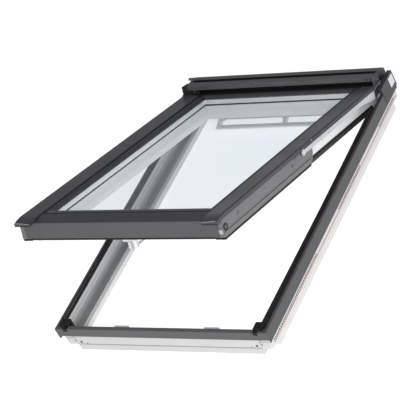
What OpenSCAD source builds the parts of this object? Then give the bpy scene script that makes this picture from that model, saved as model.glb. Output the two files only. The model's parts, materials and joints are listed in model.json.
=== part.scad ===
// Roof window with a top-hung and centre-pivot sash, shown part open.
// X runs across the window, +Y up the roof slope, +Z out of the roof.
// The origin lies under the middle of the frame, on its underside.

/* [Frame] */
// Width of the frame over its moulded sides
frame_w = 780; // [650:1:1000]
// Length of the frame from its lower to its upper face
frame_l = 1178; // [950:1:1400]
// Height of the shelf that the sash lies over
shelf_z = 32; // [28:1:36]
// Width of the shelf from the outer face inwards
shelf_w = 38; // [32:1:46]
// Thickness of the upstanding wall beside the shelf
wall_t = 3; // [2:0.5:5]
// Height of the top of the wall
wall_z = 106.8; // [100:0.2:108]
// How far the upper wall stands out past the frame's face
flare = 10.8; // [8:0.2:14]
// Height at which the side walls start to stand out
flare_z = 64.5; // [60:0.5:70]
// Height at which the lower wall starts to stand out
nose_z = 77; // [72:1:84]
// Height of the lower band that stops short of the corners
band_z = 24; // [20:1:26]
// Distance that the band stops short of the lower corners
band_stop = 40; // [30:1:60]
// Depth of the rebate for the room lining
lining_d = 12; // [8:1:16]
// Height of the rebate for the room lining
lining_z = 18; // [12:1:19]
// Width of the top rail on the shelf level
top_rail_w = 38; // [32:1:46]
// Thickness of the wall on the top rail
top_wall_t = 18; // [12:1:24]

/* [Frame covers] */
// Thickness of the folded cover sheets
cover_t = 1.2; // [0.8:0.1:1.4]
// Depth of the outer face of the side covers
side_cover_h = 46; // [43:0.5:46]
// Depth of the outer face of the lower cover
front_cover_h = 33; // [30:0.5:33]
// Overhang of the top casing behind the frame
back_overhang = 6; // [4:1:12]
// Height of the front edge of the casing above the wall
casing_lip = 43; // [41:1:50]
// Height of the front face of the casing
casing_face = 16; // [10:1:24]
// Half the gap between the casing's end and the arm
casing_gap = 2; // [1:0.5:4]
// Thickness of the metal liners inside the side walls
liner_t = 0.8; // [0.5:0.1:1]
// Distance from the hinge at which the side seals end
seal_stop = 110; // [90:1:160]
// Height of the soft corner plugs above the walls
plug_rise = 10; // [6:0.5:12]
// How far the ridge profile stands out past the casing's ends
ridge_over = 11; // [4:1:14]
// Height of the top corner covers above the side covers
corner_rise = 26; // [12:1:30]

/* [Sash] */
// Gap between the sash and the edge of the shelf
sash_gap = 4; // [3:0.5:6]
// Width of the moulded sash bars
bar_w = 48; // [42:1:60]
// Height of the sash above the shelf
sash_lift = 6; // [4:0.5:8]
// Gap between the sash and the top rail
top_gap = 16; // [14:1:24]
// Gap between the front of the sash and the lower wall
front_gap = 4.5; // [4:0.5:8]
// Thickness of each glass pane
pane_t = 4; // [3:0.5:5]
// Gap between the panes
pane_gap = 16; // [12:1:18]
// Height of the outer glass face above the sash's underside
glass_rise = 77; // [74:0.5:80]
// Depth of the glass edge inside the sash bars
glass_bite = 12; // [8:1:14]
// Height of the outer edge of the sash covers above the glass
ridge_rise = 20; // [18:0.5:22]
// Thickness of the sash cover sheets
sheet_t = 1.4; // [1:0.1:1.8]
// Depth of the folded edge of the sash covers
edge_h = 16; // [12:0.5:18]
// Gap between the lower and the upper side covers
split_gap = 3; // [2:0.5:6]
// How far the side covers reach past the front of the sash
cover_reach = 25; // [16:1:26]
// Length of the drooped lower ends of the side covers
nose_l = 42; // [30:1:48]
// Angle by which the ends of the side covers droop
nose_deg = 15; // [6:1:16]

/* [Arms and pivots] */
// Angle at which the sash stands open
open_deg = 20.3; // [0:0.1:40]
// Distance of the top hinge from the upper face of the frame
hinge_back = 52; // [46:1:60]
// Height of the top hinge
hinge_z = 121; // [119:0.5:123]
// Distance of the pivot from the upper face of the frame
pivot_back = 634; // [560:1:700]
// Thickness of the hinge arms
arm_t = 2.5; // [2:0.5:3]
// Width of the straight run of the hinge arms
arm_w = 14; // [12:0.5:15]
// Radius of the pivot pins
pin_r = 5; // [4:0.5:6]
// Radial clearance round the pins
pin_fit = 0.3; // [0.2:0.05:0.5]
// Distance of the arm's screws from the ends of the upper cover
screw_in = 60; // [40:1:90]

/* [Fittings] */
// Length of the ventilation bar
vent_l = 550; // [400:1:560]
// Distance along the glass from the ventilation bar to its hinge
vent_reach = 28; // [26:1:40]
// Drop from the hinge of the ventilation bar to the bar
vent_drop = 21; // [18:1:22]
// Length of the handle lever
lever_l = 92; // [70:1:110]
// Radius of the handle's hub
hub_r = 17; // [14:0.5:20]
// Distance between the lock keeps
keep_pitch = 344; // [260:1:400]
// Width of each lock keep
keep_w = 56; // [40:1:70]
// Height of the lock keeps above the shelf
keep_h = 48; // [40:1:50]
// Radius of the barrel bolts
bolt_r = 5; // [4:0.5:6]
// Wall of the sleeves that guide the barrel bolts
sleeve_t = 6.5; // [4:0.5:7]
// Travel of the barrel bolts
bolt_travel = 10; // [6:1:11]
// Radius of the fixing holes in the frame's outer faces
fix_r = 2.5; // [2:0.25:3.5]
// Distance between the fixing holes along each side
fix_pitch = 900; // [600:1:940]

/* [Hidden] */
$fn = 48;

// Frame outline
hw = frame_w / 2;
half_l = (frame_l + flare + cover_t + back_overhang) / 2;
front_y = -half_l;
pu_y0 = front_y + flare + cover_t;
pu_y1 = pu_y0 + frame_l;
shelf_x = hw - shelf_w;
wall_x = hw - wall_t;
flare_x = hw + flare;
ridge_x = flare_x + cover_t;
ridge_z = wall_z + cover_t;
nose_y = front_y + cover_t;
front_wall_y = pu_y0 + wall_t;
inner_y0 = pu_y0 + shelf_w;
inner_y1 = pu_y1 - top_rail_w;
top_wall_y = pu_y1 - top_wall_t;

// Sash outline, with the sash closed
sash_x = shelf_x - sash_gap;
sash_y0 = inner_y0 + sash_gap;
sash_y1 = inner_y1 - top_gap;
sash_z = shelf_z + sash_lift;
sash_front = front_wall_y + front_gap;
glass_z = sash_z + glass_rise;
unit_t = 2 * pane_t + pane_gap;
bead_z = glass_z + 1;
ridge = glass_z + ridge_rise;
edge_x = wall_x - 6;
clad_x = edge_x - 0.4;
clad_z = shelf_z + 30;
cover_in = sash_x - bar_w + 21;
cover_end = sash_front - cover_reach;
clad_y0 = sash_front + 1.5;
front_z = clad_z + 2;
front_x = clad_x - 18;
keep_y = inner_y0 - 14;
seal_y0 = inner_y0 - 8;

// Hinge and pivot axes, with the sash closed
hinge_y = pu_y1 - hinge_back;
pivot_y = pu_y1 - pivot_back;
pivot_z = glass_z;
split_y = pivot_y + 68;
swing_r = 72;
arm_x0 = edge_x + 1;
arm_x1 = arm_x0 + arm_t;
upper_end = hinge_y - 50;
casing_x = arm_x0 - casing_gap;
casing_z = wall_z + casing_lip;
bolt_y = sash_front + 18;
bolt_z = sash_z + 53;
vent_y = sash_y1 - 20;
vent_z = sash_z - 10;
handle_y = sash_y0 + 22;

// Helpers that place outlines
function unit(v) = v / norm(v);
function side_normal(a, b) = let (d = unit(b - a)) [-d[1], d[0]];
function fold(p, i, t) =
    i == 0 ? p[0] + t * side_normal(p[0], p[1]) :
    i == len(p) - 1 ? p[i] + t * side_normal(p[i - 1], p[i]) :
    let (n = side_normal(p[i - 1], p[i]), m = unit(n + side_normal(p[i], p[i + 1])))
    p[i] + t / (m * n) * m;
function arc(c, r, a0, a1, n) =
    [for (i = [0 : n]) c + r * [cos(a0 + (a1 - a0) * i / n), sin(a0 + (a1 - a0) * i / n)]];

// A folded sheet that follows an open line of points
module sheet(p, t) {
    polygon(concat(p, [for (i = [len(p) - 1 : -1 : 0]) fold(p, i, t)]));
}
module along_y(y0, y1) {
    translate([0, y1, 0]) rotate([90, 0, 0]) linear_extrude(y1 - y0) children();
}
module along_x(x0, x1) {
    translate([x0, 0, 0]) rotate([90, 0, 90]) linear_extrude(x1 - x0) children();
}
module pin_x(x0, x1, y, z, r) {
    translate([x0, y, z]) rotate([0, 90, 0]) cylinder(h = x1 - x0, r = r);
}
module left() {
    mirror([1, 0, 0]) children();
}
// Turns the closed sash about the top hinge to its open place
module opened() {
    translate([0, hinge_y, hinge_z]) rotate([-open_deg, 0, 0])
        translate([0, -hinge_y, -hinge_z]) children();
}
// A mitred sash bar: the outline runs inwards from the sash's outer face
module side_bar(outline) {
    intersection() {
        along_y(sash_y0, sash_y1) translate([sash_x, 0]) mirror([1, 0]) polygon(outline);
        linear_extrude(ridge + 50) polygon([[sash_x, sash_y0], [sash_x, sash_y1],
            [sash_x - 100, sash_y1 - 100], [sash_x - 100, sash_y0 + 100]]);
    }
}
module top_bar(outline) {
    intersection() {
        along_x(-sash_x, sash_x) translate([sash_y1, 0]) mirror([1, 0]) polygon(outline);
        linear_extrude(ridge + 50) polygon([[-sash_x, sash_y1], [sash_x, sash_y1],
            [sash_x - 100, sash_y1 - 100], [100 - sash_x, sash_y1 - 100]]);
    }
}
module bottom_bar(outline) {
    intersection() {
        along_x(-sash_x, sash_x) translate([sash_y0, 0]) polygon(outline);
        linear_extrude(ridge + 50) polygon([[-sash_x, sash_y0], [sash_x, sash_y0],
            [sash_x - 100, sash_y0 + 100], [100 - sash_x, sash_y0 + 100]]);
    }
}
// A flat ring that follows the sash, between two distances from its outer face
module sash_ring(d0, d1, z0, z1) {
    translate([0, 0, z0]) linear_extrude(z1 - z0) difference() {
        sash_outline(d0);
        sash_outline(d1);
    }
}
module sash_outline(d) {
    translate([d - sash_x, sash_y0 + d]) square([2 * (sash_x - d), sash_y1 - sash_y0 - 2 * d]);
}

// Frame
module frame_side() {
    color("whitesmoke") difference() {
        union() {
            along_y(pu_y0, pu_y1) polygon([[hw, band_z], [hw, flare_z], [flare_x, flare_z],
                [flare_x, wall_z], [wall_x, wall_z], [wall_x, shelf_z], [shelf_x, shelf_z],
                [shelf_x, band_z]]);
            along_y(pu_y0 + band_stop, pu_y1 - band_stop) polygon([[hw, 0], [hw, band_z - 2],
                [hw - 1.5, band_z - 1], [hw - 1.5, band_z], [shelf_x, band_z],
                [shelf_x, lining_z], [shelf_x + lining_d, lining_z], [shelf_x + lining_d, 0]]);
            along_y(nose_y, pu_y0) translate([wall_x, nose_z])
                square([flare_x - wall_x, wall_z - nose_z]);
        }
        for (s = [-1, 1])
            pin_x(hw - 20, hw + 1, s * fix_pitch / 2, band_z / 2, fix_r);
        pin_x(wall_x - 1, wall_x + bolt_travel, bolt_y, bolt_z, bolt_r + 1);
    }
}
module frame_side_right() {
    frame_side();
}
module frame_side_left() {
    left() frame_side();
}
module frame_bottom_rail() {
    color("whitesmoke") union() {
        along_x(-shelf_x, shelf_x) polygon([[pu_y0, 0], [pu_y0, band_z - 2],
            [pu_y0 + 1.5, band_z - 1], [pu_y0 + 1.5, band_z], [pu_y0, band_z], [pu_y0, shelf_z],
            [inner_y0, shelf_z], [inner_y0, lining_z], [inner_y0 - lining_d, lining_z],
            [inner_y0 - lining_d, 0]]);
        along_x(-wall_x, wall_x) polygon([[pu_y0, shelf_z], [pu_y0, nose_z], [nose_y, nose_z],
            [nose_y, wall_z], [front_wall_y, wall_z], [front_wall_y, shelf_z + 20],
            [pu_y0 + 12, shelf_z]]);
    }
}
module frame_top_rail() {
    color("whitesmoke") union() {
        along_x(-shelf_x, shelf_x) polygon([[pu_y1, 0], [pu_y1, shelf_z], [inner_y1, shelf_z],
            [inner_y1, lining_z], [inner_y1 + lining_d, lining_z], [inner_y1 + lining_d, 0]]);
        along_x(-wall_x, wall_x) translate([top_wall_y, shelf_z])
            square([top_wall_t, wall_z - shelf_z]);
    }
}
module frame_side_cover() {
    color("#4b4a4e") difference() {
        along_y(nose_y, pu_y1) sheet([[wall_x + 1, ridge_z], [ridge_x, ridge_z],
            [ridge_x, ridge_z - side_cover_h], [hw + 3, ridge_z - side_cover_h]], -cover_t);
        translate([hw, nose_y - 1, 0])
            cube([flare - 0.5, pu_y0 - nose_y + 1, nose_z - 1]);
    }
}
module frame_side_cover_right() {
    frame_side_cover();
}
module frame_side_cover_left() {
    left() frame_side_cover();
}
module frame_bottom_cover() {
    color("#5d5d60") union() {
        along_x(-wall_x - 0.5, wall_x + 0.5) sheet([[front_wall_y, ridge_z], [front_y, ridge_z],
            [front_y, ridge_z - front_cover_h], [pu_y0 - 2, ridge_z - front_cover_h]], cover_t);
        translate([-ridge_x, front_y, ridge_z - front_cover_h])
            cube([2 * ridge_x, cover_t, front_cover_h]);
    }
}

// Top casing
casing_line = [[hinge_y - 10, casing_z - 2], [hinge_y - 18, casing_z],
    [hinge_y - 14, casing_z + casing_face], [pu_y1 - 4, casing_z + 3],
    [half_l, casing_z - 3], [half_l, ridge_z - 30]];
module top_casing() {
    color("#434246") along_x(-casing_x, casing_x) sheet(casing_line, -cover_t);
}
module casing_end() {
    inside = [for (i = [0 : len(casing_line) - 1]) fold(casing_line, i, -cover_t - 0.1)];
    color("#39383b") along_x(casing_x - 6, casing_x) polygon([[top_wall_y, wall_z],
        [top_wall_y - 6, casing_z - 12], [inside[2][0], inside[2][1] - 8], inside[2], inside[3],
        inside[4], [inside[4][0], ridge_z - 2], [pu_y1, ridge_z - 2], [pu_y1, wall_z]]);
}
module casing_end_right() {
    casing_end();
}
module casing_end_left() {
    left() casing_end();
}
module casing_ridge() {
    slope = casing_line[3] - casing_line[2];
    color("#39383b") translate([0, pu_y1 - 17, casing_z + 3.2 + 13 * (-slope[1]) / slope[0]])
        rotate([atan2(slope[1], slope[0]), 0, 0]) along_x(-casing_x - ridge_over, casing_x + ridge_over)
            polygon(arc([0, 0], 7, 180, 0, 12));
}
module corner_cover() {
    color("#39383b") along_y(hinge_y - 42, half_l - cover_t) sheet([[wall_x + 1, ridge_z + corner_rise],
        [ridge_x + cover_t, ridge_z + corner_rise], [ridge_x + cover_t, ridge_z - 36]], -cover_t);
}
module corner_cover_right() {
    corner_cover();
}
module corner_cover_left() {
    left() corner_cover();
}
module hinge_bracket() {
    plate_x = arm_x1 + 0.5;
    color("silver") union() {
        along_x(plate_x, wall_x) polygon(concat([[hinge_y + 16, shelf_z + 24],
            [hinge_y + 16, hinge_z]], arc([hinge_y, hinge_z], 16, 0, 180, 16),
            [[hinge_y - 16, shelf_z + 24]]));
        pin_x(arm_x0 + 0.1, plate_x, hinge_y, hinge_z, pin_r);
    }
}
module hinge_bracket_right() {
    hinge_bracket();
}
module hinge_bracket_left() {
    left() hinge_bracket();
}
module corner_plug() {
    top = wall_z + plug_rise;
    ear_z = ridge_z + 0.2;
    color("#1c1c1d") union() {
        translate([shelf_x - 2, seal_y0 - 11, shelf_z]) cube([23, 10, top - shelf_z]);
        translate([shelf_x - 2, seal_y0 - 11, shelf_z]) cube([23, 18, wall_z - 12 - shelf_z]);
        translate([shelf_x - 2, pu_y0 - 4, ear_z])
            cube([wall_x + 1 - shelf_x, seal_y0 - 1 - pu_y0 + 4, top - ear_z]);
    }
}
module corner_plug_right() {
    corner_plug();
}
module corner_plug_left() {
    left() corner_plug();
}
module side_seal() {
    color("#1a1a1b") along_y(seal_y0, hinge_y - seal_stop) sheet([[wall_x, wall_z - 14],
        [wall_x, wall_z], [wall_x - 13, wall_z + 9]], 1.4);
}
module side_seal_right() {
    side_seal();
}
module side_seal_left() {
    left() side_seal();
}
module top_seal() {
    color("#1a1a1b") translate([7 - casing_x, top_wall_y - 2, wall_z - 40])
        cube([2 * casing_x - 14, 2, casing_z + 43 - wall_z]);
}
module frame_liners() {
    color("#9a9b9d") for (s = [0, 1]) mirror([s, 0, 0]) along_y(inner_y0 + 3, hinge_y - 30)
        sheet([[wall_x, wall_z - 16], [wall_x, shelf_z], [wall_x - 6, shelf_z]], -liner_t);
}
module lock_keeps() {
    color("gainsboro") for (s = [-1, 1]) translate([s * keep_pitch / 2, keep_y, shelf_z])
        difference() {
            union() {
                translate([-keep_w / 2, 0, 0]) cube([keep_w, 12, 5]);
                translate([-keep_w / 2, 8, 0]) cube([keep_w, 4, keep_h]);
            }
            translate([-keep_w / 4, 7, keep_h - 22]) cube([keep_w / 2, 6, 14]);
        }
}

// Arms, which turn about the top hinge and stay put when the sash pivots
module hinge_arm() {
    eye = 15;
    color("#b9bcc0") opened() difference() {
        along_x(arm_x0, arm_x1) union() {
            translate([pivot_y, pivot_z]) circle(arm_w / 2 + 4);
            translate([hinge_y, hinge_z]) circle(eye);
            polygon([[pivot_y, pivot_z - arm_w / 2], [hinge_y - 175, pivot_z - arm_w / 2],
                [hinge_y - 60, hinge_z - 30], [hinge_y - 8, hinge_z - 14],
                [hinge_y, hinge_z + eye], [hinge_y - 60, pivot_z + arm_w / 2],
                [pivot_y, pivot_z + arm_w / 2]]);
        }
        pin_x(arm_x0 - 1, arm_x1 + 1, pivot_y, pivot_z, pin_r + 1 + pin_fit);
        pin_x(arm_x0 - 1, arm_x1 + 1, hinge_y, hinge_z, pin_r + pin_fit);
    }
}
module hinge_arm_right() {
    hinge_arm();
}
module hinge_arm_left() {
    left() hinge_arm();
}
cover_line = [[cover_in, ridge - 15], [cover_in, ridge - 5], [edge_x - 4, ridge],
    [edge_x, ridge - 3], [edge_x, ridge - edge_h]];
module upper_cover() {
    color("#47464a") opened() union() {
        along_y(split_y + split_gap, upper_end) sheet(concat([for (i = [0 : 2]) cover_line[i]],
            [[arm_x0, ridge - 3], [arm_x0, ridge - edge_h]]), -sheet_t);
        along_x(arm_x0 - sheet_t, arm_x0) polygon([[upper_end - 24, ridge - edge_h + 1],
            [upper_end - 24, ridge - 4], [upper_end - 2, ridge - 3], [upper_end - 2, ridge + 30],
            [hinge_y - 8, ridge + 28], [hinge_y + 6, ridge - 7], [upper_end + 14, ridge - edge_h + 1]]);
    }
}
module upper_cover_right() {
    upper_cover();
}
module upper_cover_left() {
    left() upper_cover();
}
module arm_screws() {
    places = [[arm_x1, split_y + screw_in, pivot_z], [arm_x1, upper_end - screw_in, pivot_z],
        [arm_x0, hinge_y - 16, ridge + 10]];
    color("silver") opened() for (s = [0, 1], p = places) mirror([s, 0, 0])
        pin_x(p[0], p[0] + 1, p[1], p[2], 4, $fn = 24);
}

// Sash
bar_line = [[0, sash_z], [0, glass_z + 1], [bar_w - glass_bite - 1, glass_z + 1],
    [bar_w - glass_bite - 1, glass_z - unit_t - 2], [bar_w - 2, glass_z - unit_t - 2],
    [bar_w, sash_z + 22], [bar_w - 4, sash_z]];
bead_line = concat([[bar_w - 20.5, bead_z], [bar_w - 20.5, bead_z + 8]],
    arc([bar_w - 9, bead_z], 11, 130, 10, 10), [[bar_w + 2, bead_z]]);
front_line = concat([[0, sash_z + 24]], [for (i = [1 : 6]) bar_line[i]], [[26, sash_z]]);
module sash_side_right() {
    color("ghostwhite") opened() side_bar(bar_line);
}
module sash_side_left() {
    color("ghostwhite") opened() left() side_bar(bar_line);
}
module sash_top_rail() {
    color("ghostwhite") opened() top_bar(bar_line);
}
module sash_bottom_rail() {
    front = sash_front + sheet_t;
    groove_y = keep_y - 5;
    groove_z = shelf_z + keep_h + 6;
    color("ghostwhite") opened() union() {
        bottom_bar(front_line);
        along_x(3 - sash_x, sash_x - 3) polygon([[front, front_z], [front, glass_z - 4],
            [sash_y0 + 1, glass_z - 4], [sash_y0 + 1, groove_z], [groove_y, groove_z],
            [groove_y, front_z]]);
    }
}
module pane(z0) {
    translate([0, 0, z0]) linear_extrude(pane_t) sash_outline(bar_w - glass_bite);
}
module outer_pane() {
    color("lightblue", 0.4) opened() pane(glass_z - pane_t);
}
module inner_pane() {
    color("lightblue", 0.4) opened() pane(glass_z - unit_t);
}
module glass_spacer() {
    color("lightgray") opened() sash_ring(bar_w - glass_bite + 3, bar_w - glass_bite + 10,
        glass_z - pane_t - pane_gap, glass_z - pane_t);
}
module outer_glazing_seal() {
    color("#1a1a1b") opened() sash_ring(bar_w - glass_bite + 1, bar_w, glass_z, bead_z);
}
module inner_glazing_seal() {
    color("#1a1a1b") opened() sash_ring(bar_w - glass_bite, bar_w - 3, glass_z - unit_t - 2,
        glass_z - unit_t);
}
module bead_right() {
    color("#3c3b3e") opened() side_bar(bead_line);
}
module bead_left() {
    color("#3c3b3e") opened() left() side_bar(bead_line);
}
module bead_top() {
    color("#3c3b3e") opened() top_bar(bead_line);
}
module bead_bottom() {
    color("#3c3b3e") opened() bottom_bar(bead_line);
}
module sash_top_cover() {
    back = sash_y1 - bar_w + 21;
    color("#39383b") opened() along_x(8 - cover_in, cover_in - 8) sheet([[back, bead_z],
        [back, bead_z + 6], [sash_y1 + sheet_t, bead_z + 4],
        [sash_y1 + sheet_t, glass_z - 12]], -sheet_t);
}
module sash_bottom_cover() {
    color("#5d5d60") opened() union() {
        along_x(0.5 - cover_in, cover_in - 0.5) sheet([[sash_y0 + bar_w - 23, bead_z],
            [sash_y0 + bar_w - 23, bead_z + 11], [sash_y0 + 10, bead_z + 11],
            [sash_front, glass_z + 2], [sash_front, front_z]], sheet_t);
        translate([-front_x, sash_front, front_z])
            cube([2 * front_x, sheet_t, glass_z + 2 - front_z]);
    }
}
// The drooped lower end of a side cover, bent in equal steps
module cover_nose(n) {
    step = nose_l / 3;
    rotate([nose_deg / 3, 0, 0]) translate([0, 0, -ridge - 2]) {
        along_y(-step, 0) sheet(cover_line, -sheet_t);
        if (n > 1) translate([0, -step, ridge + 2]) cover_nose(n - 1);
        if (n == 1) along_y(-step, sheet_t - step) polygon(concat([for (i = [1 : 3]) cover_line[i]],
            [[edge_x, ridge - 12], [cover_in, ridge - 12]]));
    }
}
module lower_cover() {
    color("#47464a") opened() difference() {
        union() {
            along_y(cover_end + nose_l, split_y) sheet(cover_line, -sheet_t);
            translate([0, cover_end + nose_l, ridge + 2]) cover_nose(3);
        }
        pin_x(sash_x, wall_x, pivot_y, pivot_z, pin_r + 1 + pin_fit);
    }
}
module lower_cover_right() {
    lower_cover();
}
module lower_cover_left() {
    left() lower_cover();
}
module sash_cladding() {
    inner = clad_x - sheet_t;
    color("#7b7b7d") opened() difference() {
        intersection() {
            union() {
                along_y(clad_y0, split_y) sheet([[inner, ridge - 6],
                    [inner, clad_z + 16], [clad_x - 0.2, clad_z + 15], [clad_x - 0.2, clad_z],
                    [sash_x, clad_z]], -sheet_t + 0.2);
                translate([front_x + 0.5, clad_y0, clad_z])
                    cube([inner - front_x, sheet_t, ridge - 24 - clad_z]);
            }
            union() {
                translate([0, cover_end, 0]) cube([wall_x, pivot_y - cover_end, ridge]);
                pin_x(0, wall_x, pivot_y, pivot_z, swing_r - 6);
            }
        }
        pin_x(sash_x, wall_x, pivot_y, pivot_z, pin_r + 1 + pin_fit);
        pin_x(sash_x - 1, wall_x, bolt_y, bolt_z, bolt_r + sleeve_t + pin_fit);
    }
}
module sash_cladding_right() {
    sash_cladding();
}
module sash_cladding_left() {
    left() sash_cladding();
}
module sash_seal() {
    color("#1a1a1b") opened() union() {
        for (s = [0, 1]) mirror([s, 0, 0]) {
            translate([clad_x - 14, clad_y0 + 2, clad_z - 8])
                cube([13, pivot_y + 37 - clad_y0 - 2, 8]);
            translate([sash_x, pivot_y + 46, clad_z - 10])
                cube([2.4, sash_y1 - 30 - pivot_y - 46, 8]);
        }
        translate([3 - sash_x, sash_front, front_z - 6])
            cube([2 * sash_x - 6, 12, 6]);
    }
}
module pivot_pin() {
    color("silver") opened() pin_x(sash_x, arm_x1 + 1, pivot_y, pivot_z, pin_r + 1);
}
module pivot_pin_right() {
    pivot_pin();
}
module pivot_pin_left() {
    left() pivot_pin();
}
module pivot_plates() {
    lens_r = 73;
    color("#b9bcc0") opened() for (s = [0, 1]) mirror([s, 0, 0]) difference() {
        along_x(clad_x - sheet_t, clad_x) translate([pivot_y - 24, pivot_z - 8]) rotate(-12)
            intersection() {
                translate([0, 9.5 - lens_r]) circle(lens_r, $fn = 96);
                translate([0, lens_r - 9.5]) circle(lens_r, $fn = 96);
            }
        pin_x(sash_x, wall_x, pivot_y, pivot_z, pin_r + 1 + pin_fit);
    }
}
module bolt_sleeve() {
    color("#222223") opened() difference() {
        pin_x(sash_x - 3, edge_x + 0.6, bolt_y, bolt_z, bolt_r + sleeve_t);
        pin_x(sash_x + 3, edge_x + 2, bolt_y, bolt_z, bolt_r + pin_fit);
    }
}
module bolt_sleeve_right() {
    bolt_sleeve();
}
module bolt_sleeve_left() {
    left() bolt_sleeve();
}
module barrel_bolt() {
    color("silver") opened() pin_x(edge_x - 22, edge_x, bolt_y, bolt_z, bolt_r);
}
module barrel_bolt_right() {
    barrel_bolt();
}
module barrel_bolt_left() {
    left() barrel_bolt();
}

// Ventilation bar and handle
vent_posts = [6 - vent_l / 2, 0, vent_l / 2 - 6];
module vent_lugs() {
    color("gainsboro") opened() difference() {
        union() {
            for (x = vent_posts) translate([x + (x < 0 ? 7 : -15), vent_y - 7, vent_z - 7])
                cube([8, 14, sash_z - vent_z + 7]);
            translate([-vent_l / 2 - 12, vent_y - 12, sash_z - 2]) cube([vent_l + 24, 26, 2]);
        }
        pin_x(-vent_l, vent_l, vent_y, vent_z, 3.1, $fn = 24);
    }
}
module vent_rod() {
    color("silver") opened() pin_x(-vent_l / 2, vent_l / 2, vent_y, vent_z, 3, $fn = 24);
}
module vent_bar() {
    bar_y = vent_y - vent_reach;
    bar_z = vent_z - vent_drop;
    color("gainsboro") opened() difference() {
        union() {
            along_x(-vent_l / 2, vent_l / 2) union() {
                translate([bar_y - 8, bar_z]) circle(5, $fn = 24);
                translate([bar_y + 8, bar_z]) circle(5, $fn = 24);
                translate([bar_y - 8, bar_z - 5]) square([16, 10]);
            }
            for (x = vent_posts) along_x(x - 6, x + 6) union() {
                translate([vent_y, vent_z]) circle(7, $fn = 24);
                polygon([[bar_y + 8, bar_z - 5], [vent_y + 3, vent_z - 6], [vent_y - 3, vent_z + 6],
                    [bar_y - 6, bar_z + 5]]);
            }
        }
        pin_x(-vent_l, vent_l, vent_y, vent_z, 3 + pin_fit, $fn = 24);
    }
}
module handle_base() {
    color("gainsboro") opened() translate([0, handle_y, sash_z - 6]) union() {
        for (s = [-1, 1]) translate([s * 22, 0, 0]) cylinder(h = 6, r = 14);
        translate([-22, -14, 0]) cube([44, 28, 6]);
        translate([0, 0, -14]) cylinder(h = 14, r = 5);
    }
}
module handle() {
    color("silver") opened() translate([0, handle_y, sash_z - 30]) difference() {
        union() {
            cylinder(h = 23.5, r = hub_r);
            translate([-8, 0, 0]) cube([16, lever_l, 10]);
            translate([0, lever_l, 0]) cylinder(h = 10, r = 8);
        }
        translate([0, 0, 9]) cylinder(h = 20, r = 5 + pin_fit);
    }
}

frame_side_left();
frame_side_right();
frame_bottom_rail();
frame_top_rail();
frame_side_cover_left();
frame_side_cover_right();
frame_bottom_cover();
top_casing();
casing_end_left();
casing_end_right();
casing_ridge();
corner_cover_left();
corner_cover_right();
hinge_bracket_left();
hinge_bracket_right();
corner_plug_left();
corner_plug_right();
side_seal_left();
side_seal_right();
top_seal();
frame_liners();
lock_keeps();
hinge_arm_left();
hinge_arm_right();
upper_cover_left();
upper_cover_right();
arm_screws();
sash_side_left();
sash_side_right();
sash_top_rail();
sash_bottom_rail();
outer_pane();
inner_pane();
glass_spacer();
outer_glazing_seal();
inner_glazing_seal();
bead_left();
bead_right();
bead_top();
bead_bottom();
sash_top_cover();
sash_bottom_cover();
lower_cover_left();
lower_cover_right();
sash_cladding_left();
sash_cladding_right();
sash_seal();
pivot_pin_left();
pivot_pin_right();
pivot_plates();
bolt_sleeve_left();
bolt_sleeve_right();
barrel_bolt_left();
barrel_bolt_right();
vent_lugs();
vent_rod();
vent_bar();
handle_base();
handle();
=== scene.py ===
import json
import math
import bmesh
import bpy
from mathutils import Matrix, Vector
from mathutils.bvhtree import BVHTree


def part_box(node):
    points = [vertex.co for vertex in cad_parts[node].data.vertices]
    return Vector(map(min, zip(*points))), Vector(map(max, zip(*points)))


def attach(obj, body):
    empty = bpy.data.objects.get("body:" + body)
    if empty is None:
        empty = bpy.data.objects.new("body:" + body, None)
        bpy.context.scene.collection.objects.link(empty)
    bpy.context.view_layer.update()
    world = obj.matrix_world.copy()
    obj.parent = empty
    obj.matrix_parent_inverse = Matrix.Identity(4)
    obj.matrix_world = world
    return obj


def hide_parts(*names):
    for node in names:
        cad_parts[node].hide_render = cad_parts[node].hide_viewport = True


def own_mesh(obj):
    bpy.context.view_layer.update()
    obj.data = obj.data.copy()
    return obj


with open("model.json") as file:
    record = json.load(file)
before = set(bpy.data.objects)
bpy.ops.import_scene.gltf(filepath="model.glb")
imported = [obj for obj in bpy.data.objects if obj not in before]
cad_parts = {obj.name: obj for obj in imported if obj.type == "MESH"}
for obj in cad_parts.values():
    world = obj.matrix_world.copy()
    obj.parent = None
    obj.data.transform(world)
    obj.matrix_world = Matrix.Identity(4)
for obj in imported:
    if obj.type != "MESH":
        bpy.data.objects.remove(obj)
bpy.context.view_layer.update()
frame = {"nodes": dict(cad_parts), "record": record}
nodes = frame["nodes"]
record = frame["record"]

# The frame is in metres, and lengths are written here in millimetres
MM = 0.001
# A distance well outside the part, from which seat() looks at it
FAR = 1.0
# How far the back of a thin plate sits in the face that carries it
SKIN = 0.1 * MM
SIDES = {"right": 1.0, "left": -1.0}
RIGHT = (1, 0, 0)
FRONT = (0, -1, 0)
BACK = (0, 1, 0)
UP = (0, 0, 1)
DOWN = (0, 0, -1)


def mm(*lengths):
    """Lengths in millimetres as metres."""
    return tuple(length * MM for length in lengths)


# The top hinge turns the closed sash to its open place, so most pieces on the sash and the arms are placed
# closed and then turned
hinge = next(j for j in record["behaviour"]["joints"] if j["name"] == "top_hinge")
hinge_at = Vector(hinge["pos_m"])
open_turn = Matrix.Rotation(math.radians(hinge["range_deg"][0]), 4, "X")
to_open = Matrix.Translation(hinge_at) @ open_turn @ Matrix.Translation(-hinge_at)
to_closed = to_open.inverted()

# Materials
TONE_SCALE = 7.0
TONE_DETAIL = 4.0
GRAIN_DETAIL = 2.0
GRAIN_DEPTH = 0.5 * MM
# The part of the noise's range that the tone and the shine follow
NOISE_LOW = 0.3
NOISE_HIGH = 0.7
ROUGH_SPREAD = 0.05
EDGE_SAMPLES = 4
EVEN = (1.0, 1.0, 1.0)


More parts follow.
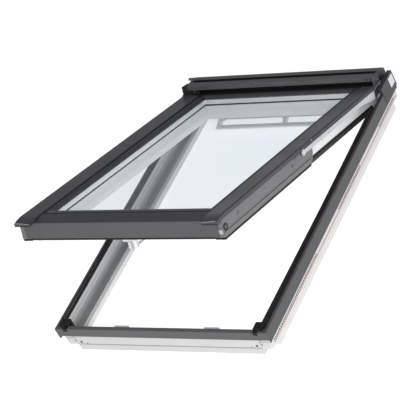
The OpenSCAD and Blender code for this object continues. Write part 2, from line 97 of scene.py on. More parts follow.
def socket(node, name, value):
    """Sets the constant value of a shader node's input."""
    node.inputs[name].default_value = value


def surface(name, colour, rough, vary=0.06, grain=900.0, bump=0.04, edge=0.6 * MM, metal=0.0, spec=0.5,
            streak=EVEN):
    """A moulded, lacquered or metal surface: a slow tone change, a fine grain and softened edges."""
    mat = bpy.data.materials.new(name)
    mat.use_nodes = True
    tree = mat.node_tree
    bsdf = tree.nodes["Principled BSDF"]
    socket(bsdf, "Metallic", metal)
    socket(bsdf, "Specular IOR Level", spec)
    coords = tree.nodes.new("ShaderNodeTexCoord")
    scaled = tree.nodes.new("ShaderNodeMapping")
    socket(scaled, "Scale", streak)
    tree.links.new(coords.outputs["Object"], scaled.inputs["Vector"])
    slow = tree.nodes.new("ShaderNodeTexNoise")
    socket(slow, "Scale", TONE_SCALE)
    socket(slow, "Detail", TONE_DETAIL)
    tree.links.new(scaled.outputs["Vector"], slow.inputs["Vector"])
    fine = tree.nodes.new("ShaderNodeTexNoise")
    socket(fine, "Scale", grain)
    socket(fine, "Detail", GRAIN_DETAIL)
    tree.links.new(scaled.outputs["Vector"], fine.inputs["Vector"])
    tone = tree.nodes.new("ShaderNodeValToRGB")
    dark, pale = tone.color_ramp.elements
    dark.position = NOISE_LOW
    pale.position = NOISE_HIGH
    dark.color = (*[c * (1.0 - vary) for c in colour], 1.0)
    pale.color = (*[min(1.0, c * (1.0 + vary)) for c in colour], 1.0)
    tree.links.new(slow.outputs["Fac"], tone.inputs["Fac"])
    tree.links.new(tone.outputs["Color"], bsdf.inputs["Base Color"])
    shine = tree.nodes.new("ShaderNodeMapRange")
    socket(shine, "From Min", NOISE_LOW)
    socket(shine, "From Max", NOISE_HIGH)
    socket(shine, "To Min", rough - ROUGH_SPREAD)
    socket(shine, "To Max", rough + ROUGH_SPREAD)
    tree.links.new(slow.outputs["Fac"], shine.inputs["Value"])
    tree.links.new(shine.outputs["Result"], bsdf.inputs["Roughness"])
    relief = tree.nodes.new("ShaderNodeBump")
    socket(relief, "Strength", bump)
    socket(relief, "Distance", GRAIN_DEPTH)
    tree.links.new(fine.outputs["Fac"], relief.inputs["Height"])
    if edge > 0.0:
        soft = tree.nodes.new("ShaderNodeBevel")
        soft.samples = EDGE_SAMPLES
        socket(soft, "Radius", edge)
        tree.links.new(soft.outputs["Normal"], relief.inputs["Normal"])
    tree.links.new(relief.outputs["Normal"], bsdf.inputs["Normal"])
    return mat


def glass_surface(name, tint, flat_share):
    """A clear pane: light passes straight through, and more of it is mirrored at a flat angle."""
    mirror_colour = (0.95, 0.98, 1.0, 1.0)
    mirror_rough = 0.02
    facing_blend = 0.5
    steepness = 5.0
    head_on_share = 0.012
    mat = bpy.data.materials.new(name)
    mat.use_nodes = True
    tree = mat.node_tree
    tree.nodes.remove(tree.nodes["Principled BSDF"])
    out = tree.nodes["Material Output"]
    clear = tree.nodes.new("ShaderNodeBsdfTransparent")
    socket(clear, "Color", (*tint, 1.0))
    gloss = tree.nodes.new("ShaderNodeBsdfGlossy")
    socket(gloss, "Color", mirror_colour)
    socket(gloss, "Roughness", mirror_rough)
    facing = tree.nodes.new("ShaderNodeLayerWeight")
    socket(facing, "Blend", facing_blend)
    steep = tree.nodes.new("ShaderNodeMath")
    steep.operation = "POWER"
    tree.links.new(facing.outputs["Facing"], steep.inputs[0])
    socket(steep, 1, steepness)
    share = tree.nodes.new("ShaderNodeMath")
    share.operation = "MULTIPLY_ADD"
    tree.links.new(steep.outputs["Value"], share.inputs[0])
    socket(share, 1, flat_share)
    socket(share, 2, head_on_share)
    mix = tree.nodes.new("ShaderNodeMixShader")
    tree.links.new(share.outputs["Value"], mix.inputs["Fac"])
    tree.links.new(clear.outputs["BSDF"], mix.inputs[1])
    tree.links.new(gloss.outputs["BSDF"], mix.inputs[2])
    tree.links.new(mix.outputs["Shader"], out.inputs["Surface"])
    return mat


looks = {}


def add_look(name, colour, rough, **finish):
    """Makes a surface and keeps it under its name."""
    looks[name] = surface(name, colour, rough, **finish)


# One look for each material slot of the record
add_look("white_frame", (0.66, 0.66, 0.645), 0.36, vary=0.015, bump=0.03, edge=1.2 * MM)
add_look("white_sash", (0.84, 0.84, 0.83), 0.30, vary=0.012, bump=0.02, edge=1.5 * MM)
add_look("dark_cover", (0.040, 0.039, 0.043), 0.42, vary=0.05, bump=0.05, edge=0.9 * MM, spec=0.35)
add_look("cladding", (0.140, 0.140, 0.143), 0.44, vary=0.05, bump=0.05, edge=0.7 * MM, spec=0.4)
add_look("bead", (0.030, 0.030, 0.033), 0.45, vary=0.05, bump=0.05, edge=0.8 * MM, spec=0.35)
add_look("dark_plastic", (0.030, 0.030, 0.032), 0.55, vary=0.06, bump=0.12, edge=0.8 * MM, spec=0.35)
add_look("black_plastic", (0.012, 0.012, 0.012), 0.50, vary=0.08, bump=0.08, edge=0.5 * MM, spec=0.35)
add_look("black_rubber", (0.008, 0.008, 0.008), 0.70, vary=0.10, grain=1600.0, bump=0.15, edge=0.4 * MM,
         spec=0.3)
add_look("galvanised_steel", (0.52, 0.55, 0.57), 0.42, vary=0.08, grain=260.0, bump=0.06, edge=0.4 * MM,
         metal=0.55, streak=(1.0, 0.25, 1.0))
add_look("dark_steel", (0.16, 0.16, 0.165), 0.30, vary=0.10, grain=500.0, bump=0.04, edge=0.4 * MM,
         metal=0.8)
add_look("bright_steel", (0.62, 0.62, 0.63), 0.26, vary=0.05, grain=700.0, bump=0.03, edge=0.4 * MM,
         metal=1.0)
add_look("spacer", (0.80, 0.81, 0.82), 0.40, vary=0.04, bump=0.03, edge=0.3 * MM, metal=0.6)
add_look("liner", (0.38, 0.385, 0.392), 0.34, vary=0.04, grain=500.0, bump=0.03, edge=0.3 * MM, metal=0.65,
         streak=(1.0, 0.15, 1.0))
add_look("pale_metal", (0.74, 0.75, 0.76), 0.36, vary=0.03, bump=0.03, edge=0.8 * MM, metal=0.2)
add_look("chrome", (0.66, 0.66, 0.68), 0.18, vary=0.03, bump=0.01, edge=0.8 * MM, metal=0.9)
looks["glass"] = glass_surface("glass", (0.968, 0.979, 0.986), 0.35)

# Looks of trim, and copies of looks that paint light and shade: lighter greys of the dark cover as painted
# light, a darker white as painted shade, a near-black as painted shade in grooves, and a pale grey as
# painted highlights on edges
add_look("red_paint", (0.48, 0.012, 0.018), 0.50, vary=0.10, bump=0.03, edge=0.0)
# Pale grey that paints highlights along edges
add_look("pale_edge_painted_highlight", (0.46, 0.45, 0.49), 0.36, vary=0.05, bump=0.04, edge=0.3 * MM, metal=0.3)
# Lighter copies of the dark cover that paint light where it falls, on the front faces and on the side covers
add_look("front_grey_painted_light", (0.078, 0.078, 0.080), 0.44, vary=0.05, bump=0.05, edge=0.9 * MM, spec=0.4)
add_look("side_grey_painted_light", (0.062, 0.061, 0.065), 0.42, vary=0.05, bump=0.05, edge=0.9 * MM, spec=0.35)
# Darker copy of the white frame that paints shade on the front of the bottom rail
add_look("white_front_painted_shade", (0.56, 0.56, 0.545), 0.36, vary=0.02, bump=0.03, edge=1.2 * MM)
# Near-black that paints the shade in grooves, on black seals and strips
add_look("black_painted_shade", (0.003, 0.003, 0.003), 0.80, vary=0.10, bump=0.05, edge=0.0, spec=0.1)
add_look("plate_white", (0.66, 0.68, 0.72), 0.40, vary=0.03, bump=0.02, edge=0.3 * MM)

for part in record["subparts"]:
    node_materials = nodes[part["node"]].data.materials
    node_materials.clear()
    node_materials.append(looks[part["material_slot"]])
# Nodes with other looks: lit and shaded copies that paint light and shade, and black plastic on the bolt
# sleeves
own_and_painted_light_looks = {
    "front_grey_painted_light": ("frame_bottom_cover", "sash_bottom_cover", "casing_ridge", "top_casing", "bead_bottom"),
    "side_grey_painted_light": ("frame_side_cover_left", "frame_side_cover_right"),
    "white_front_painted_shade": ("frame_bottom_rail",),
    "black_painted_shade": ("top_seal",),
    "black_plastic": ("bolt_sleeve_left", "bolt_sleeve_right"),
}
for look, names in own_and_painted_light_looks.items():
    for name in names:
        nodes[name].data.materials[0] = looks[look]

# Mesh helpers
RIB_SUNK = 0.3 * MM
RIB_ROUND_END = 0.4
ARC_STEPS = 6
ROUND = 20
SMALL_ROUND = 16
LARGE_ROUND = 32
CORNER_STEPS = 4


def add_piece(name, mesh, body, slot, look=None, turned=False):
    """Links a mesh made in place, rides it on a body and gives it its slot's look, or a look of its own."""
    if turned:
        mesh.transform(to_open)
    shape = bmesh.new()
    shape.from_mesh(mesh)
    bmesh.ops.recalc_face_normals(shape, faces=shape.faces)
    shape.to_mesh(mesh)
    shape.free()
    mesh.materials.append(looks[look or slot])
    piece = bpy.data.objects.new(name, mesh)
    bpy.context.scene.collection.objects.link(piece)
    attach(piece, body)
    return piece


def mirrored(side, point):
    """A point of the right side, put on the given side."""
    return (side * point[0], point[1], point[2])


def ring_mesh(name, runs):
    """A mesh of closed tubes, each a list of rings with the same number of points, capped at both ends."""
    points = []
    faces = []
    for rings in runs:
        start = len(points)
        count = len(rings[0])
        for ring in rings:
            points += [tuple(p) for p in ring]
        for i in range(len(rings) - 1):
            a = start + i * count
            b = a + count
            faces += [(a + k, a + (k + 1) % count, b + (k + 1) % count, b + k) for k in range(count)]
        last = start + (len(rings) - 1) * count
        faces.append(tuple(range(start, start + count)))
        faces.append(tuple(range(last, last + count)))
    mesh = bpy.data.meshes.new(name)
    mesh.from_pydata(points, [], faces)
    mesh.update()
    return mesh


def rib_rings(start, end, across, out, width, height, taper=0.5):
    """Rings of a half-round rib from start to end, with rounded ends and a back sunk into the face."""
    start = Vector(start)
    end = Vector(end)
    across = Vector(across)
    out = Vector(out)
    round_end = (end - start).normalized() * width * RIB_ROUND_END
    sunk = out * -RIB_SUNK
    rings = []
    for place, share in ((start, taper), (start + round_end, 1.0), (end - round_end, 1.0), (end, taper)):
        half = across * (0.5 * width * share)
        arc = []
        for i in range(ARC_STEPS + 1):
            a = math.pi * i / ARC_STEPS
            arc.append(place + half * math.cos(a) + out * (height * share * math.sin(a)))
        rings.append(arc + [place - half + sunk, place + half + sunk])
    return rings


def add_ribs(name, runs, across, width, height, body, slot, look=None, turned=False):
    """Half-round ribs on faces as one piece; each run has its start, its end and its outward direction."""
    mesh = ring_mesh(name, [rib_rings(start, end, across, out, width, height) for start, end, out in runs])
    return add_piece(name, mesh, body, slot, look, turned)


def cross_run(half, y, z, out):
    """A run for add_ribs() from side to side of the part."""
    return ((-half, y, z), (half, y, z), out)


def dashes(start, end, out, length, gap):
    """Runs of dashes along a straight line."""
    start = Vector(start)
    whole = Vector(end) - start
    along = whole.normalized()
    step = length + gap
    count = int((whole.length + gap) / step)
    return [(start + along * i * step, start + along * (i * step + length), out) for i in range(count)]


def turned_rings(centre, axis, profile, count=ROUND):
    """Rings of a turned shape about an axis, from a profile of radius and height."""
    axis = Vector(axis).normalized()
    first = axis.orthogonal().normalized()
    second = axis.cross(first)
    angles = [2 * math.pi * k / count for k in range(count)]
    return [[Vector(centre) + axis * h + (first * math.cos(a) + second * math.sin(a)) * r for a in angles]
            for r, h in profile]


def screw_profile(radius, height):
    """A pan head, sunk a little into its face, with a round recess in its middle."""
    return [(radius, -0.3 * height), (radius, 0.5 * height), (0.8 * radius, height), (0.45 * radius, height),
            (0.35 * radius, 0.45 * height), (0.05 * radius, 0.4 * height)]


def hole_profile(radius):
    """A dark hole with a raised rim, lying on its face."""
    return [(radius, -0.2 * MM), (radius, 0.25 * MM), (0.8 * radius, 0.3 * MM), (0.7 * radius, 0.1 * MM),
            (0.1 * radius, 0.05 * MM)]


def rounded(u0, u1, v0, v1, radius):
    """A rectangle with round corners, as a list of points."""
    corners = [(u1 - radius, v1 - radius), (u0 + radius, v1 - radius),
               (u0 + radius, v0 + radius), (u1 - radius, v0 + radius)]
    points = []
    for quarter, (u, v) in enumerate(corners):
        for step in range(CORNER_STEPS + 1):
            a = math.radians(90 * (quarter + step / CORNER_STEPS))
            points.append((u + radius * math.cos(a), v + radius * math.sin(a)))
    return points


def plate_mesh(side, axis, outline, at, thick, bevel):
    """A plate across an axis, with rounded edges. Its outline and place are those of the right side."""
    points = {
        "x": [(side * at, u, v) for u, v in outline],
        "y": [(side * u, at, v) for u, v in outline],
        "z": [(side * u, v, at) for u, v in outline],
    }
    lifts = {"x": (side * thick, 0, 0), "y": (0, thick, 0), "z": (0, 0, thick)}
    shape = bmesh.new()
    face = shape.faces.new([shape.verts.new(point) for point in points[axis]])
    grown = bmesh.ops.extrude_face_region(shape, geom=[face])
    moved = [e for e in grown["geom"] if isinstance(e, bmesh.types.BMVert)]
    bmesh.ops.translate(shape, vec=Vector(lifts[axis]), verts=moved)
    bmesh.ops.bevel(shape, geom=list(shape.edges), offset=bevel, segments=2, affect="EDGES", profile=0.5)
    mesh = bpy.data.meshes.new("plate")
    shape.to_mesh(mesh)
    shape.free()
    return mesh


def plate_pair(axis, outline, at, thick, bevel):
    """The same plate on both sides of the part."""
    return [plate_mesh(side, axis, outline, at, thick, bevel) for side in SIDES.values()]


def join_meshes(name, meshes):
    """Several meshes as one."""
    whole = bmesh.new()
    for mesh in meshes:
        whole.from_mesh(mesh)
    joined = bpy.data.meshes.new(name)
    whole.to_mesh(joined)
    whole.free()
    return joined


def add_plates(name, plates, body, slot, look=None, turned=False):
    """Plates as one piece."""
    return add_piece(name, join_meshes(name, plates), body, slot, look, turned)


def seat(node, start, way, turned=False):
    """Where a line meets a node's surface, and which way the surface faces there."""
    mesh = nodes[node].data
    tree = BVHTree.FromPolygons([v.co for v in mesh.vertices], [p.vertices for p in mesh.polygons])
    start = Vector(start)
    way = Vector(way)
    if turned:
        start = to_open @ start
        way = to_open.to_3x3() @ way
    hit, normal = tree.ray_cast(start, way)[:2]
    return hit, normal if normal.dot(way) < 0.0 else -normal


# Soft seals and plugs
def lip_section(wall, tip, low, high):
    """The right seal's section: a ribbed foot on the wall, a bent lip and a round bulb at its end."""
    bulb_radius = 2 * MM
    rib_count = 5
    rib_pitch = 2.2 * MM
    foot = [(wall, low), (wall, high - 9 * MM)]
    outer = [(wall - 4 * MM, high - 5.6 * MM), (wall - 9 * MM, high - 2.2 * MM)]
    bulb = []
    for turn in range(60, 301, 30):
        a = math.radians(turn)
        bulb.append((tip + bulb_radius * (1 + math.cos(a)), high - bulb_radius * (1 - math.sin(a))))
    inner = [(wall - 8 * MM, high - 4.6 * MM), (wall - 4.5 * MM, high - 7.8 * MM),
             (wall - 1.6 * MM, high - 10.4 * MM)]
    ribs = []
    for i in range(rib_count):
        z = high - 12 * MM - i * rib_pitch
        ribs += [(wall - 2.2 * MM, z), (wall - 1.2 * MM, z - rib_pitch / 2)]
    return foot + outer + bulb + inner + ribs + [(wall - 1.4 * MM, low)]


def add_seal(name, side):
    """A side seal in two halves: its lip narrows from plug to pivot, and is narrow beside the arms."""
    pivot_y = -58 * MM
    plug_overlap = 14 * MM
    full_lip = 1.0
    narrow_lip = 0.53
    lower_keep = 0.22
    upper_keep = 0.03
    node = "side_seal_" + name
    low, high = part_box(node)
    tip, wall = sorted((abs(low.x), abs(high.x)))
    section = lip_section(wall, tip, low.z, high.z)
    plug_end = (low.y - plug_overlap, full_lip)
    pivot_end = (pivot_y, narrow_lip)
    top_end = (high.y, narrow_lip)
    halves = (("_lower", (plug_end, pivot_end), lower_keep), ("_upper", (pivot_end, top_end), upper_keep))
    for half, ends, keep in halves:
        rings = [[(side * (wall - (wall - x) * share), y, z) for x, z in section] for y, share in ends]
        seal = add_piece(node + half, ring_mesh(node + half, [rings]), "frame_body", "black_rubber")
        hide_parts(node)
        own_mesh(seal)


def add_plug(name, side):
    """A corner plug: a foot in the frame's corner, a post on it, and a cap with grips across its top."""
    cap_depth = 33 * MM
    cap_drop = 8.6 * MM
    cap_thick = 7.8 * MM
    foot_width = 23 * MM
    post_width = 22.4 * MM
    post_depth = 10 * MM
    post_sunk = 3 * MM
    block_bevel = 1.2 * MM
    grip_inset = 3 * MM
    grip_width = 2.4 * MM
    grip_height = 0.9 * MM
    grip_places = mm(6, 11, 16, 21, 26)
    node = "corner_plug_" + name
    low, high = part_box(node)
    inside, outside = sorted((abs(low.x), abs(high.x)))
    cap_x = inside + 3 * MM
    foot_x = inside + 12 * MM
    foot_y = low.y + 23 * MM
    foot_top = high.z - 22 * MM
    foot_outline = rounded(foot_y, high.y, low.z, foot_top, 3 * MM)
    foot = plate_mesh(side, "x", foot_outline, foot_x, foot_width, block_bevel)
    post_outline = rounded(foot_y, foot_y + post_depth, foot_top - post_sunk, high.z - 1 * MM, 2.5 * MM)
    post = plate_mesh(side, "x", post_outline, cap_x, post_width, block_bevel)
    cap_outline = rounded(cap_x, outside, low.y, low.y + cap_depth, 4 * MM)
    cap = plate_mesh(side, "z", cap_outline, high.z - cap_drop, cap_thick, 1.5 * MM)
    grips = []
    for place in grip_places:
        start = mirrored(side, (cap_x + grip_inset, low.y + place, high.z - grip_height))
        end = mirrored(side, (outside - grip_inset, low.y + place, high.z - grip_height))
        grips.append(rib_rings(start, end, BACK, UP, grip_width, grip_height))
    meshes = [foot, post, cap, ring_mesh("grips", grips)]
    plug = add_piece(node + "_soft", join_meshes(node + "_soft", meshes), "frame_body", "black_rubber")
    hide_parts(node)
    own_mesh(plug)


for name, side in SIDES.items():
    add_seal(name, side)
    add_plug(name, side)

# Printed lines on the frame's sides
line_x = 390 * MM
red_z = 34 * MM
red_ends = mm(-566, 584)
red_dash = 7 * MM
red_gap = 1.5 * MM
black_z = 40.6 * MM
black_runs = (mm(-562, -182), mm(18, 235), mm(415, 560))
black_dash = 8 * MM
black_gap = 2.5 * MM
# Hems and gaskets of the side covers; the hems carry pale ribs that paint a highlight along the covers'
# lower edges
hem_up = 0.9 * MM
hem_start = 12 * MM
gasket_in = 11.4 * MM
gasket_start = 16 * MM
gasket_end = 490 * MM


def side_dashes(side, ends, z, dash, gap):
    """Dashes along a frame side, between two places and at a height."""
    start, end = [mirrored(side, (line_x, y, z)) for y in ends]
    return dashes(start, end, (side, 0, 0), dash, gap)


for name, side in SIDES.items():
    cover = "frame_side_cover_" + name
    low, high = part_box(cover)
    out = (side, 0, 0)
    outer_x = side * max(abs(low.x), abs(high.x))
    red_line = side_dashes(side, red_ends, red_z, red_dash, red_gap)
    add_ribs("red_line_" + name, red_line, UP, width=5.6 * MM, height=0.3 * MM, body="frame_body", slot=None,
             look="red_paint")
    black_line = []
    for ends in black_runs:
        black_line += side_dashes(side, ends, black_z, black_dash, black_gap)
    add_ribs("gap_line_" + name, black_line, UP, width=5.4 * MM, height=0.4 * MM, body="frame_body",
             slot="black_plastic")
    # Pale rib on the hem, its colour painting a highlight along the cover's lower edge
    hem_z = low.z + hem_up
    hem_highlight = [((outer_x, low.y + hem_start, hem_z), (outer_x, high.y, hem_z), out)]
    add_ribs("cover_hem_highlight_" + name, hem_highlight, UP, width=2.4 * MM, height=0.6 * MM, body="frame_body",
             slot="dark_cover", look="pale_edge_painted_highlight")
    gasket_x = outer_x - side * gasket_in
    gasket_z = seat(cover, (gasket_x, 0, FAR), DOWN)[0].z
    gasket = [((gasket_x, low.y + gasket_start, gasket_z), (gasket_x, gasket_end, gasket_z), UP)]
    add_ribs("cover_gasket_" + name, gasket, RIGHT, width=4.4 * MM, height=2.4 * MM, body="frame_body",
             slot="black_rubber")

# Holes and upright joints in the front of the bottom rail; a hole has its distance from the middle, its
# height and its radius, in millimetres
hole_places = ((336, 36.5, 4.4), (357, 42, 2.6), (314, 31, 2.2), (358, 62, 2.4))
joint_x = 351.6 * MM
joint_low, joint_high = mm(26, 60)
front_z = 40 * MM
holes = []
joints = []
for side in SIDES.values():
    for x, z, radius in hole_places:
        place, facing = seat("frame_bottom_rail", (side * x * MM, -FAR, z * MM), BACK)
        holes.append(turned_rings(place, facing, hole_profile(radius * MM), SMALL_ROUND))
    place = seat("frame_bottom_rail", (side * joint_x, -FAR, front_z), BACK)[0]
    joints.append(((place.x, place.y, joint_low), (place.x, place.y, joint_high), FRONT))
add_piece("front_holes", ring_mesh("front_holes", holes), "frame_body", "black_plastic")
add_ribs("front_joints", joints, RIGHT, width=0.9 * MM, height=0.2 * MM, body="frame_body",
         slot="black_plastic")

# Moulded lines along that front: one across it and a short one at each end, with their ends and height
line_places = (mm(-350, 350, 26.5), mm(-385, -349, 54), mm(349, 385, 54))
front_y = seat("frame_bottom_rail", (0, -FAR, front_z), BACK)[0].y
front_lines = [((x0, front_y, z), (x1, front_y, z), FRONT) for x0, x1, z in line_places]
add_ribs("front_lines", front_lines, UP, width=1.8 * MM, height=0.2 * MM, body="frame_body",
         slot="black_plastic")

# Black hooks of the corner plugs, over the top edge of the bottom cover
hook_x = 354 * MM
hook_width = 16 * MM
hook_wall = 1.4 * MM
hook_drop = 10.5 * MM
hook_chamfer = 1 * MM
hook_sunk = 0.2 * MM
hook_back_gap = 0.5 * MM
low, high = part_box("frame_bottom_cover")
hook_front = low.y - hook_wall
hook_back = high.y - hook_back_gap
hook_top = high.z + hook_wall
hook_end = high.z - hook_drop
hook_outline = [
    (hook_front, hook_end), (hook_front, hook_top - hook_chamfer), (hook_front + hook_chamfer, hook_top),
    (hook_back, hook_top), (hook_back, high.z - hook_sunk), (low.y + hook_sunk, high.z - hook_sunk),
    (low.y + hook_sunk, hook_end)]
plug_hooks = plate_pair("x", hook_outline, at=hook_x, thick=hook_width, bevel=0.3 * MM)
add_plates("plug_hooks", plug_hooks, "frame_body", "black_rubber")

# Bare plate on the right corner cover
corner_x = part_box("corner_cover_right")[1].x
plate_outline = rounded(*mm(558, 590, 88, 126, 2))
plate = plate_mesh(SIDES["right"], "x", plate_outline, at=corner_x - SKIN, thick=0.6 * MM, bevel=0.15 * MM)
add_plates("corner_plate", [plate], "frame_body", None, "plate_white")

# Hook marks, rivets and a groove on each cladding; a mark has its place along the sash and its height
clad_x = 380.6 * MM
mark_places = (mm(-480, 103), mm(-121, 102))
mark_reach = 4.2 * MM
mark_rise = 5.6 * MM
mark_turns = range(-120, 91, 30)
rivet_places = mm(-306, -395, -215)
rivet_z = 107 * MM
groove_start, groove_end = mm(-573, -6)
groove_z = 78.2 * MM
marks = []
rivets = []
grooves = []
for side in SIDES.values():
    out = Vector((side, 0, 0))
    face = side * clad_x
    for y, z in mark_places:
        bend = []
        for turn in mark_turns:
            a = math.radians(turn)
            bend.append(Vector((face, y + mark_reach * math.cos(a), z + mark_rise * math.sin(a))))
        for start, end in zip(bend, bend[1:]):
            across = (end - start).normalized().cross(out)
            marks.append(rib_rings(start, end, across, out, width=2.0 * MM, height=0.4 * MM, taper=0.9))
    for y in rivet_places:
        head = screw_profile(radius=2.4 * MM, height=0.7 * MM)
        rivets.append(turned_rings((face, y, rivet_z), out, head))
    grooves.append(((face, groove_start, groove_z), (face, groove_end, groove_z), out))
add_piece("cladding_hooks", ring_mesh("cladding_hooks", marks), "sash_body", "black_plastic", turned=True)
add_piece("cladding_rivets", ring_mesh("cladding_rivets", rivets), "sash_body", "dark_steel", turned=True)
add_ribs("cladding_grooves", grooves, UP, width=1.2 * MM, height=0.25 * MM, body="sash_body",
         slot="black_plastic", turned=True)

# A small bright steel patch on the front flange of the right cladding
flange_x, flange_z = mm(371, 80)
flange = to_closed @ seat("sash_cladding_right", (flange_x, -FAR, flange_z), BACK, True)[0]
patch_outline = rounded(*mm(364.4, 377.4, 73, 86, 1))
patch = plate_mesh(SIDES["right"], "y", patch_outline, at=flange.y + SKIN, thick=-0.4 * MM, bevel=0.1 * MM)
add_plates("flange_patch", [patch], "sash_body", "bright_steel", turned=True)

# A hole and two slots in each arm, and small screws in the side covers
hole_y, hole_z = mm(87, 115)
slot_places = mm(129, 138)
slot_length = 6 * MM
slot_start_z, slot_end_z = mm(111.5, 111)
screw_x = 345 * MM
screw_places = {"lower_cover": mm(-35, -330), "upper_cover": mm(130, 420)}
arm_marks = []
screws = {cover: [] for cover in screw_places}
for name, side in SIDES.items():
    arm = "hinge_arm_" + name
    inward = (-side, 0, 0)
    place, facing = seat(arm, (side * FAR, hole_y, hole_z), inward, True)
    arm_marks.append(turned_rings(place, facing, hole_profile(2.2 * MM), SMALL_ROUND))
    for y in slot_places:
        start = seat(arm, (side * FAR, y, slot_start_z), inward, True)[0]
        end = seat(arm, (side * FAR, y + slot_length, slot_end_z), inward, True)[0]
        across = (end - start).normalized().cross(facing)
        arm_marks.append(rib_rings(start, end, across, facing, width=2.0 * MM, height=0.3 * MM))
    for cover, places in screw_places.items():
        for y in places:
            place, facing = seat(cover + "_" + name, (side * screw_x, y, FAR), DOWN, True)
            head = screw_profile(radius=1.9 * MM, height=0.6 * MM)
            screws[cover].append(turned_rings(place, facing, head, SMALL_ROUND))
add_piece("arm_marks", ring_mesh("arm_marks", arm_marks), "arms_body", "black_plastic")
for cover, body in (("upper_cover", "arms_body"), ("lower_cover", "sash_body")):
    add_piece(cover + "_screws", ring_mesh(cover + "_screws", screws[cover]), body, "black_plastic")

# Dark ends of the arms: a cap inside each hinge eye and a thin plate outside, in front of the bracket
eye_radius = 15 * MM
cap_profile = [(eye_radius, 0.0), (eye_radius, 1.0 * MM), (13.5 * MM, 1.6 * MM), (0.5 * MM, 1.6 * MM)]
arm_outline = [mm(479, 91.6), mm(522, 104.6), mm(522, 131.0), mm(479, 121.2)]
arm_in, arm_out = sorted(abs(corner.x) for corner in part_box("hinge_arm_right"))
caps = []
for side in SIDES.values():
    eye = mirrored(side, (arm_in, hinge_at.y, hinge_at.z))
    caps.append(turned_rings(eye, (-side, 0, 0), cap_profile, LARGE_ROUND))
add_piece("arm_caps", ring_mesh("arm_caps", caps), "arms_body", "dark_plastic", turned=True)
arm_plates = plate_pair("x", arm_outline, at=arm_out - SKIN, thick=0.4 * MM, bevel=0.1 * MM)
add_plates("arm_plates", arm_plates, "arms_body", "dark_cover", turned=True)

# Pale ribs that paint highlights on the lips at the drooped tips of the lower covers, and black plates that
# paint the shadow under those lips
lip_start = mm(323, -601.2, 123.0)
lip_end = mm(376, -602.3, 127.4)
lip_out = (0, -0.97, 0.26)
lip_across = (0, 0.26, 0.97)
lip_highlights = [(mirrored(side, lip_start), mirrored(side, lip_end), lip_out) for side in SIDES.values()]
add_ribs("cover_lip_highlights", lip_highlights, lip_across, width=1.2 * MM, height=0.4 * MM, body="sash_body",
         slot="dark_cover", look="pale_edge_painted_highlight", turned=True)
# Black plates closing the open tips, as painted shadow under the lips
tip_outline = [mm(323.2, 113.6), mm(379.0, 113.6), mm(379.0, 122.6), mm(376.2, 125.0), mm(323.2, 120.6)]
tip_shadows = plate_pair("y", tip_outline, at=-599.2 * MM, thick=2.4 * MM, bevel=0.4 * MM)
add_plates("cover_tip_shadows", tip_shadows, "sash_body", "black_rubber", turned=True)

# Dark sheet on the sloping top of the sash's bottom cover, which paints shade on that face, and the black
# strip between it and the bead, a seal that also paints the shadow of the gap there
sheet_half = 320 * MM
sheet_thick = 0.4 * MM
sheet_under = [mm(-577.4, 117.1), mm(-534, 126.9), mm(-521, 126.9)]
sheet_section = sheet_under + [(y, z + sheet_thick) for y, z in reversed(sheet_under)]
top_shade_sheet = [[(x, y, z) for y, z in sheet_section] for x in (-sheet_half, sheet_half)]
add_piece("cover_top_shade_sheet", ring_mesh("cover_top_shade_sheet", [top_shade_sheet]), "sash_body", "dark_cover", turned=True)
bead_seal_and_shadow = cross_run(*mm(319, -525, 127.2), UP)
add_ribs("bead_seal_and_shadow", [bead_seal_and_shadow], BACK, width=9.4 * MM, height=0.9 * MM, body="sash_body",
         slot="black_rubber", turned=True)

# Seals at the sash's lower front corners, and a dark strip along the upper half of each side
corner_outline = rounded(*mm(344, 379.6, -577, -566, 3))
corners = plate_pair("z", corner_outline, at=55 * MM, thick=7.2 * MM, bevel=0.8 * MM)
add_plates("seal_corners", corners, "sash_body", "black_rubber", turned=True)
strip_outline = rounded(*mm(24, 512, 39.5, 53.5, 2))
strips = plate_pair("x", strip_outline, at=347.8 * MM, thick=1.8 * MM, bevel=0.5 * MM)
add_plates("edge_strips", strips, "sash_body", "dark_plastic", turned=True)

# Ribs along the frame's liners, in a pale metal that paints their highlights
liner_start, liner_end = mm(-543, 508)
liner_rib_heights = mm(88.6, 83, 70)
liner_runs = []
for side in SIDES.values():
    for z in liner_rib_heights:
        x = seat("frame_liners", (0, 0, z), (side, 0, 0))[0].x
        liner_runs.append(((x, liner_start, z), (x, liner_end, z), (-side, 0, 0)))
add_ribs("liner_rib_highlights", liner_runs, UP, width=2.0 * MM, height=0.7 * MM, body="frame_body",
         slot="pale_metal")

# Folded lower edges of the liners, on the frame's inner shelf
over_shelf = mm(-375, -300, 80)
shelf_z = seat("frame_side_left", over_shelf, DOWN)[0].z
fold_outline = rounded(*mm(368, 386, -546, 508, 2))
folds = plate_pair("z", fold_outline, at=shelf_z - SKIN, thick=0.7 * MM, bevel=0.2 * MM)
add_plates("liner_folds", folds, "frame_body", "liner")

# Plates that close the corner covers: in front, and at the back behind the hinges
end_outline = rounded(*mm(389.4, 402, 108.4, 132.8, 1.5))
cover_ends = plate_pair("y", end_outline, at=499.5 * MM, thick=1.4 * MM, bevel=0.3 * MM)
add_plates("corner_cover_ends", cover_ends, "frame_body", "dark_cover")
back_outline = rounded(*mm(380, 402, 106.6, 132.8, 1.5))
cover_backs = plate_pair("y", back_outline, at=576 * MM, thick=1.4 * MM, bevel=0.3 * MM)
add_plates("corner_cover_backs", cover_backs, "frame_body", "dark_cover")

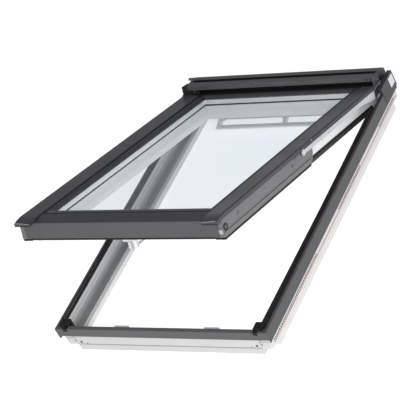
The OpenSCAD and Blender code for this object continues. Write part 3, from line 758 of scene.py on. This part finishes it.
# Dark liners behind the hinges, on the frame's sides and on the ends of its top rail
side_outline = rounded(*mm(511, 574, 33, 106, 3))
side_liners = plate_pair("x", side_outline, at=387.1 * MM, thick=-0.8 * MM, bevel=0.2 * MM)
rail_outline = rounded(*mm(352, 386.6, 60, 106, 1))
rail_liners = plate_pair("y", rail_outline, at=574.1 * MM, thick=-0.9 * MM, bevel=0.2 * MM)
add_plates("hinge_liners", side_liners + rail_liners, "frame_body", "dark_plastic")

# Dark strips on the upper ends of the sash's sides
top_outline = rounded(*mm(321.3, 347.6, 486, 536, 1))
top_strips = plate_pair("z", top_outline, at=115.9 * MM, thick=0.6 * MM, bevel=0.15 * MM)
add_plates("sash_top_strips", top_strips, "sash_body", "dark_plastic", turned=True)

# Black strip in front of the casing's ridge, painting the shadow in a groove there
ridge_groove_shadow_y = 560 * MM
ridge_groove_shadow_half = 368 * MM
place, facing = seat("top_casing", (0, ridge_groove_shadow_y, FAR), DOWN)
ridge_groove_shadow = cross_run(ridge_groove_shadow_half, place.y, place.z, facing)
add_ribs("ridge_groove_shadow", [ridge_groove_shadow], facing.cross(RIGHT), width=15 * MM, height=0.9 * MM, body="frame_body",
         slot="black_rubber", look="black_painted_shade")

# Floor just below the part, which glows so that it turns white
floor_half = 30.0
floor_drop = 0.4 * MM
floor_glow = 0.74
white = (1.0, 1.0, 1.0, 1.0)
floor_mesh = bpy.data.meshes.new("floor")
floor_corners = ((-1, -1), (1, -1), (1, 1), (-1, 1))
floor_mesh.from_pydata([(floor_half * x, floor_half * y, 0) for x, y in floor_corners], [], [(0, 1, 2, 3)])
floor = bpy.data.objects.new("floor", floor_mesh)
floor.location.z = -floor_drop
bpy.context.scene.collection.objects.link(floor)
floor_mat = bpy.data.materials.new("floor")
floor_mat.use_nodes = True
floor_bsdf = floor_mat.node_tree.nodes["Principled BSDF"]
socket(floor_bsdf, "Base Color", (0.60, 0.60, 0.60, 1.0))
socket(floor_bsdf, "Roughness", 0.9)
socket(floor_bsdf, "Specular IOR Level", 0.1)
socket(floor_bsdf, "Emission Color", white)
socket(floor_bsdf, "Emission Strength", floor_glow)
floor_mesh.materials.append(floor_mat)

# Sky and lamps
world = bpy.data.worlds.new("studio")
bpy.context.scene.world = world
world.use_nodes = True
sky = world.node_tree.nodes["Background"]
socket(sky, "Color", (0.93, 0.96, 1.0, 1.0))
socket(sky, "Strength", 0.40)
lamp_target = Vector((0.0, 0.0, 0.2))


def add_softbox(name, place, size, power):
    """A square lamp, turned to the part."""
    data = bpy.data.lights.new(name, "AREA")
    data.shape = "RECTANGLE"
    data.size = size
    data.size_y = size
    data.energy = power
    lamp = bpy.data.objects.new(name, data)
    lamp.location = place
    aim = lamp_target - Vector(place)
    lamp.rotation_euler = aim.to_track_quat("-Z", "Y").to_euler()
    bpy.context.scene.collection.objects.link(lamp)


add_softbox("key", (2.9, -3.4, 3.1), size=2.0, power=150.0)
add_softbox("left", (-1.6, -4.2, 3.4), size=3.0, power=35.0)
add_softbox("right", (4.2, -1.2, 2.2), size=3.0, power=22.0)

# Camera, as fitted to the photograph
eye_at = Vector((3.9506, -4.5646, 4.4444))
right = Vector((0.8422, 0.3785, -0.3840)).normalized()
forward = Vector((-0.5390, 0.6084, -0.5825)).normalized()
up = right.cross(forward).normalized()
right = forward.cross(up).normalized()
lens = bpy.data.cameras.new("camera")
lens.lens = 193.66
lens.sensor_width = 36.0
lens.clip_end = 100.0
camera = bpy.data.objects.new("camera", lens)
camera.matrix_world = Matrix((
    (right.x, up.x, -forward.x, eye_at.x),
    (right.y, up.y, -forward.y, eye_at.y),
    (right.z, up.z, -forward.z, eye_at.z),
    (0.0, 0.0, 0.0, 1.0)))
bpy.context.scene.collection.objects.link(camera)
bpy.context.scene.camera = camera
bpy.context.scene.view_settings.view_transform = "Standard"
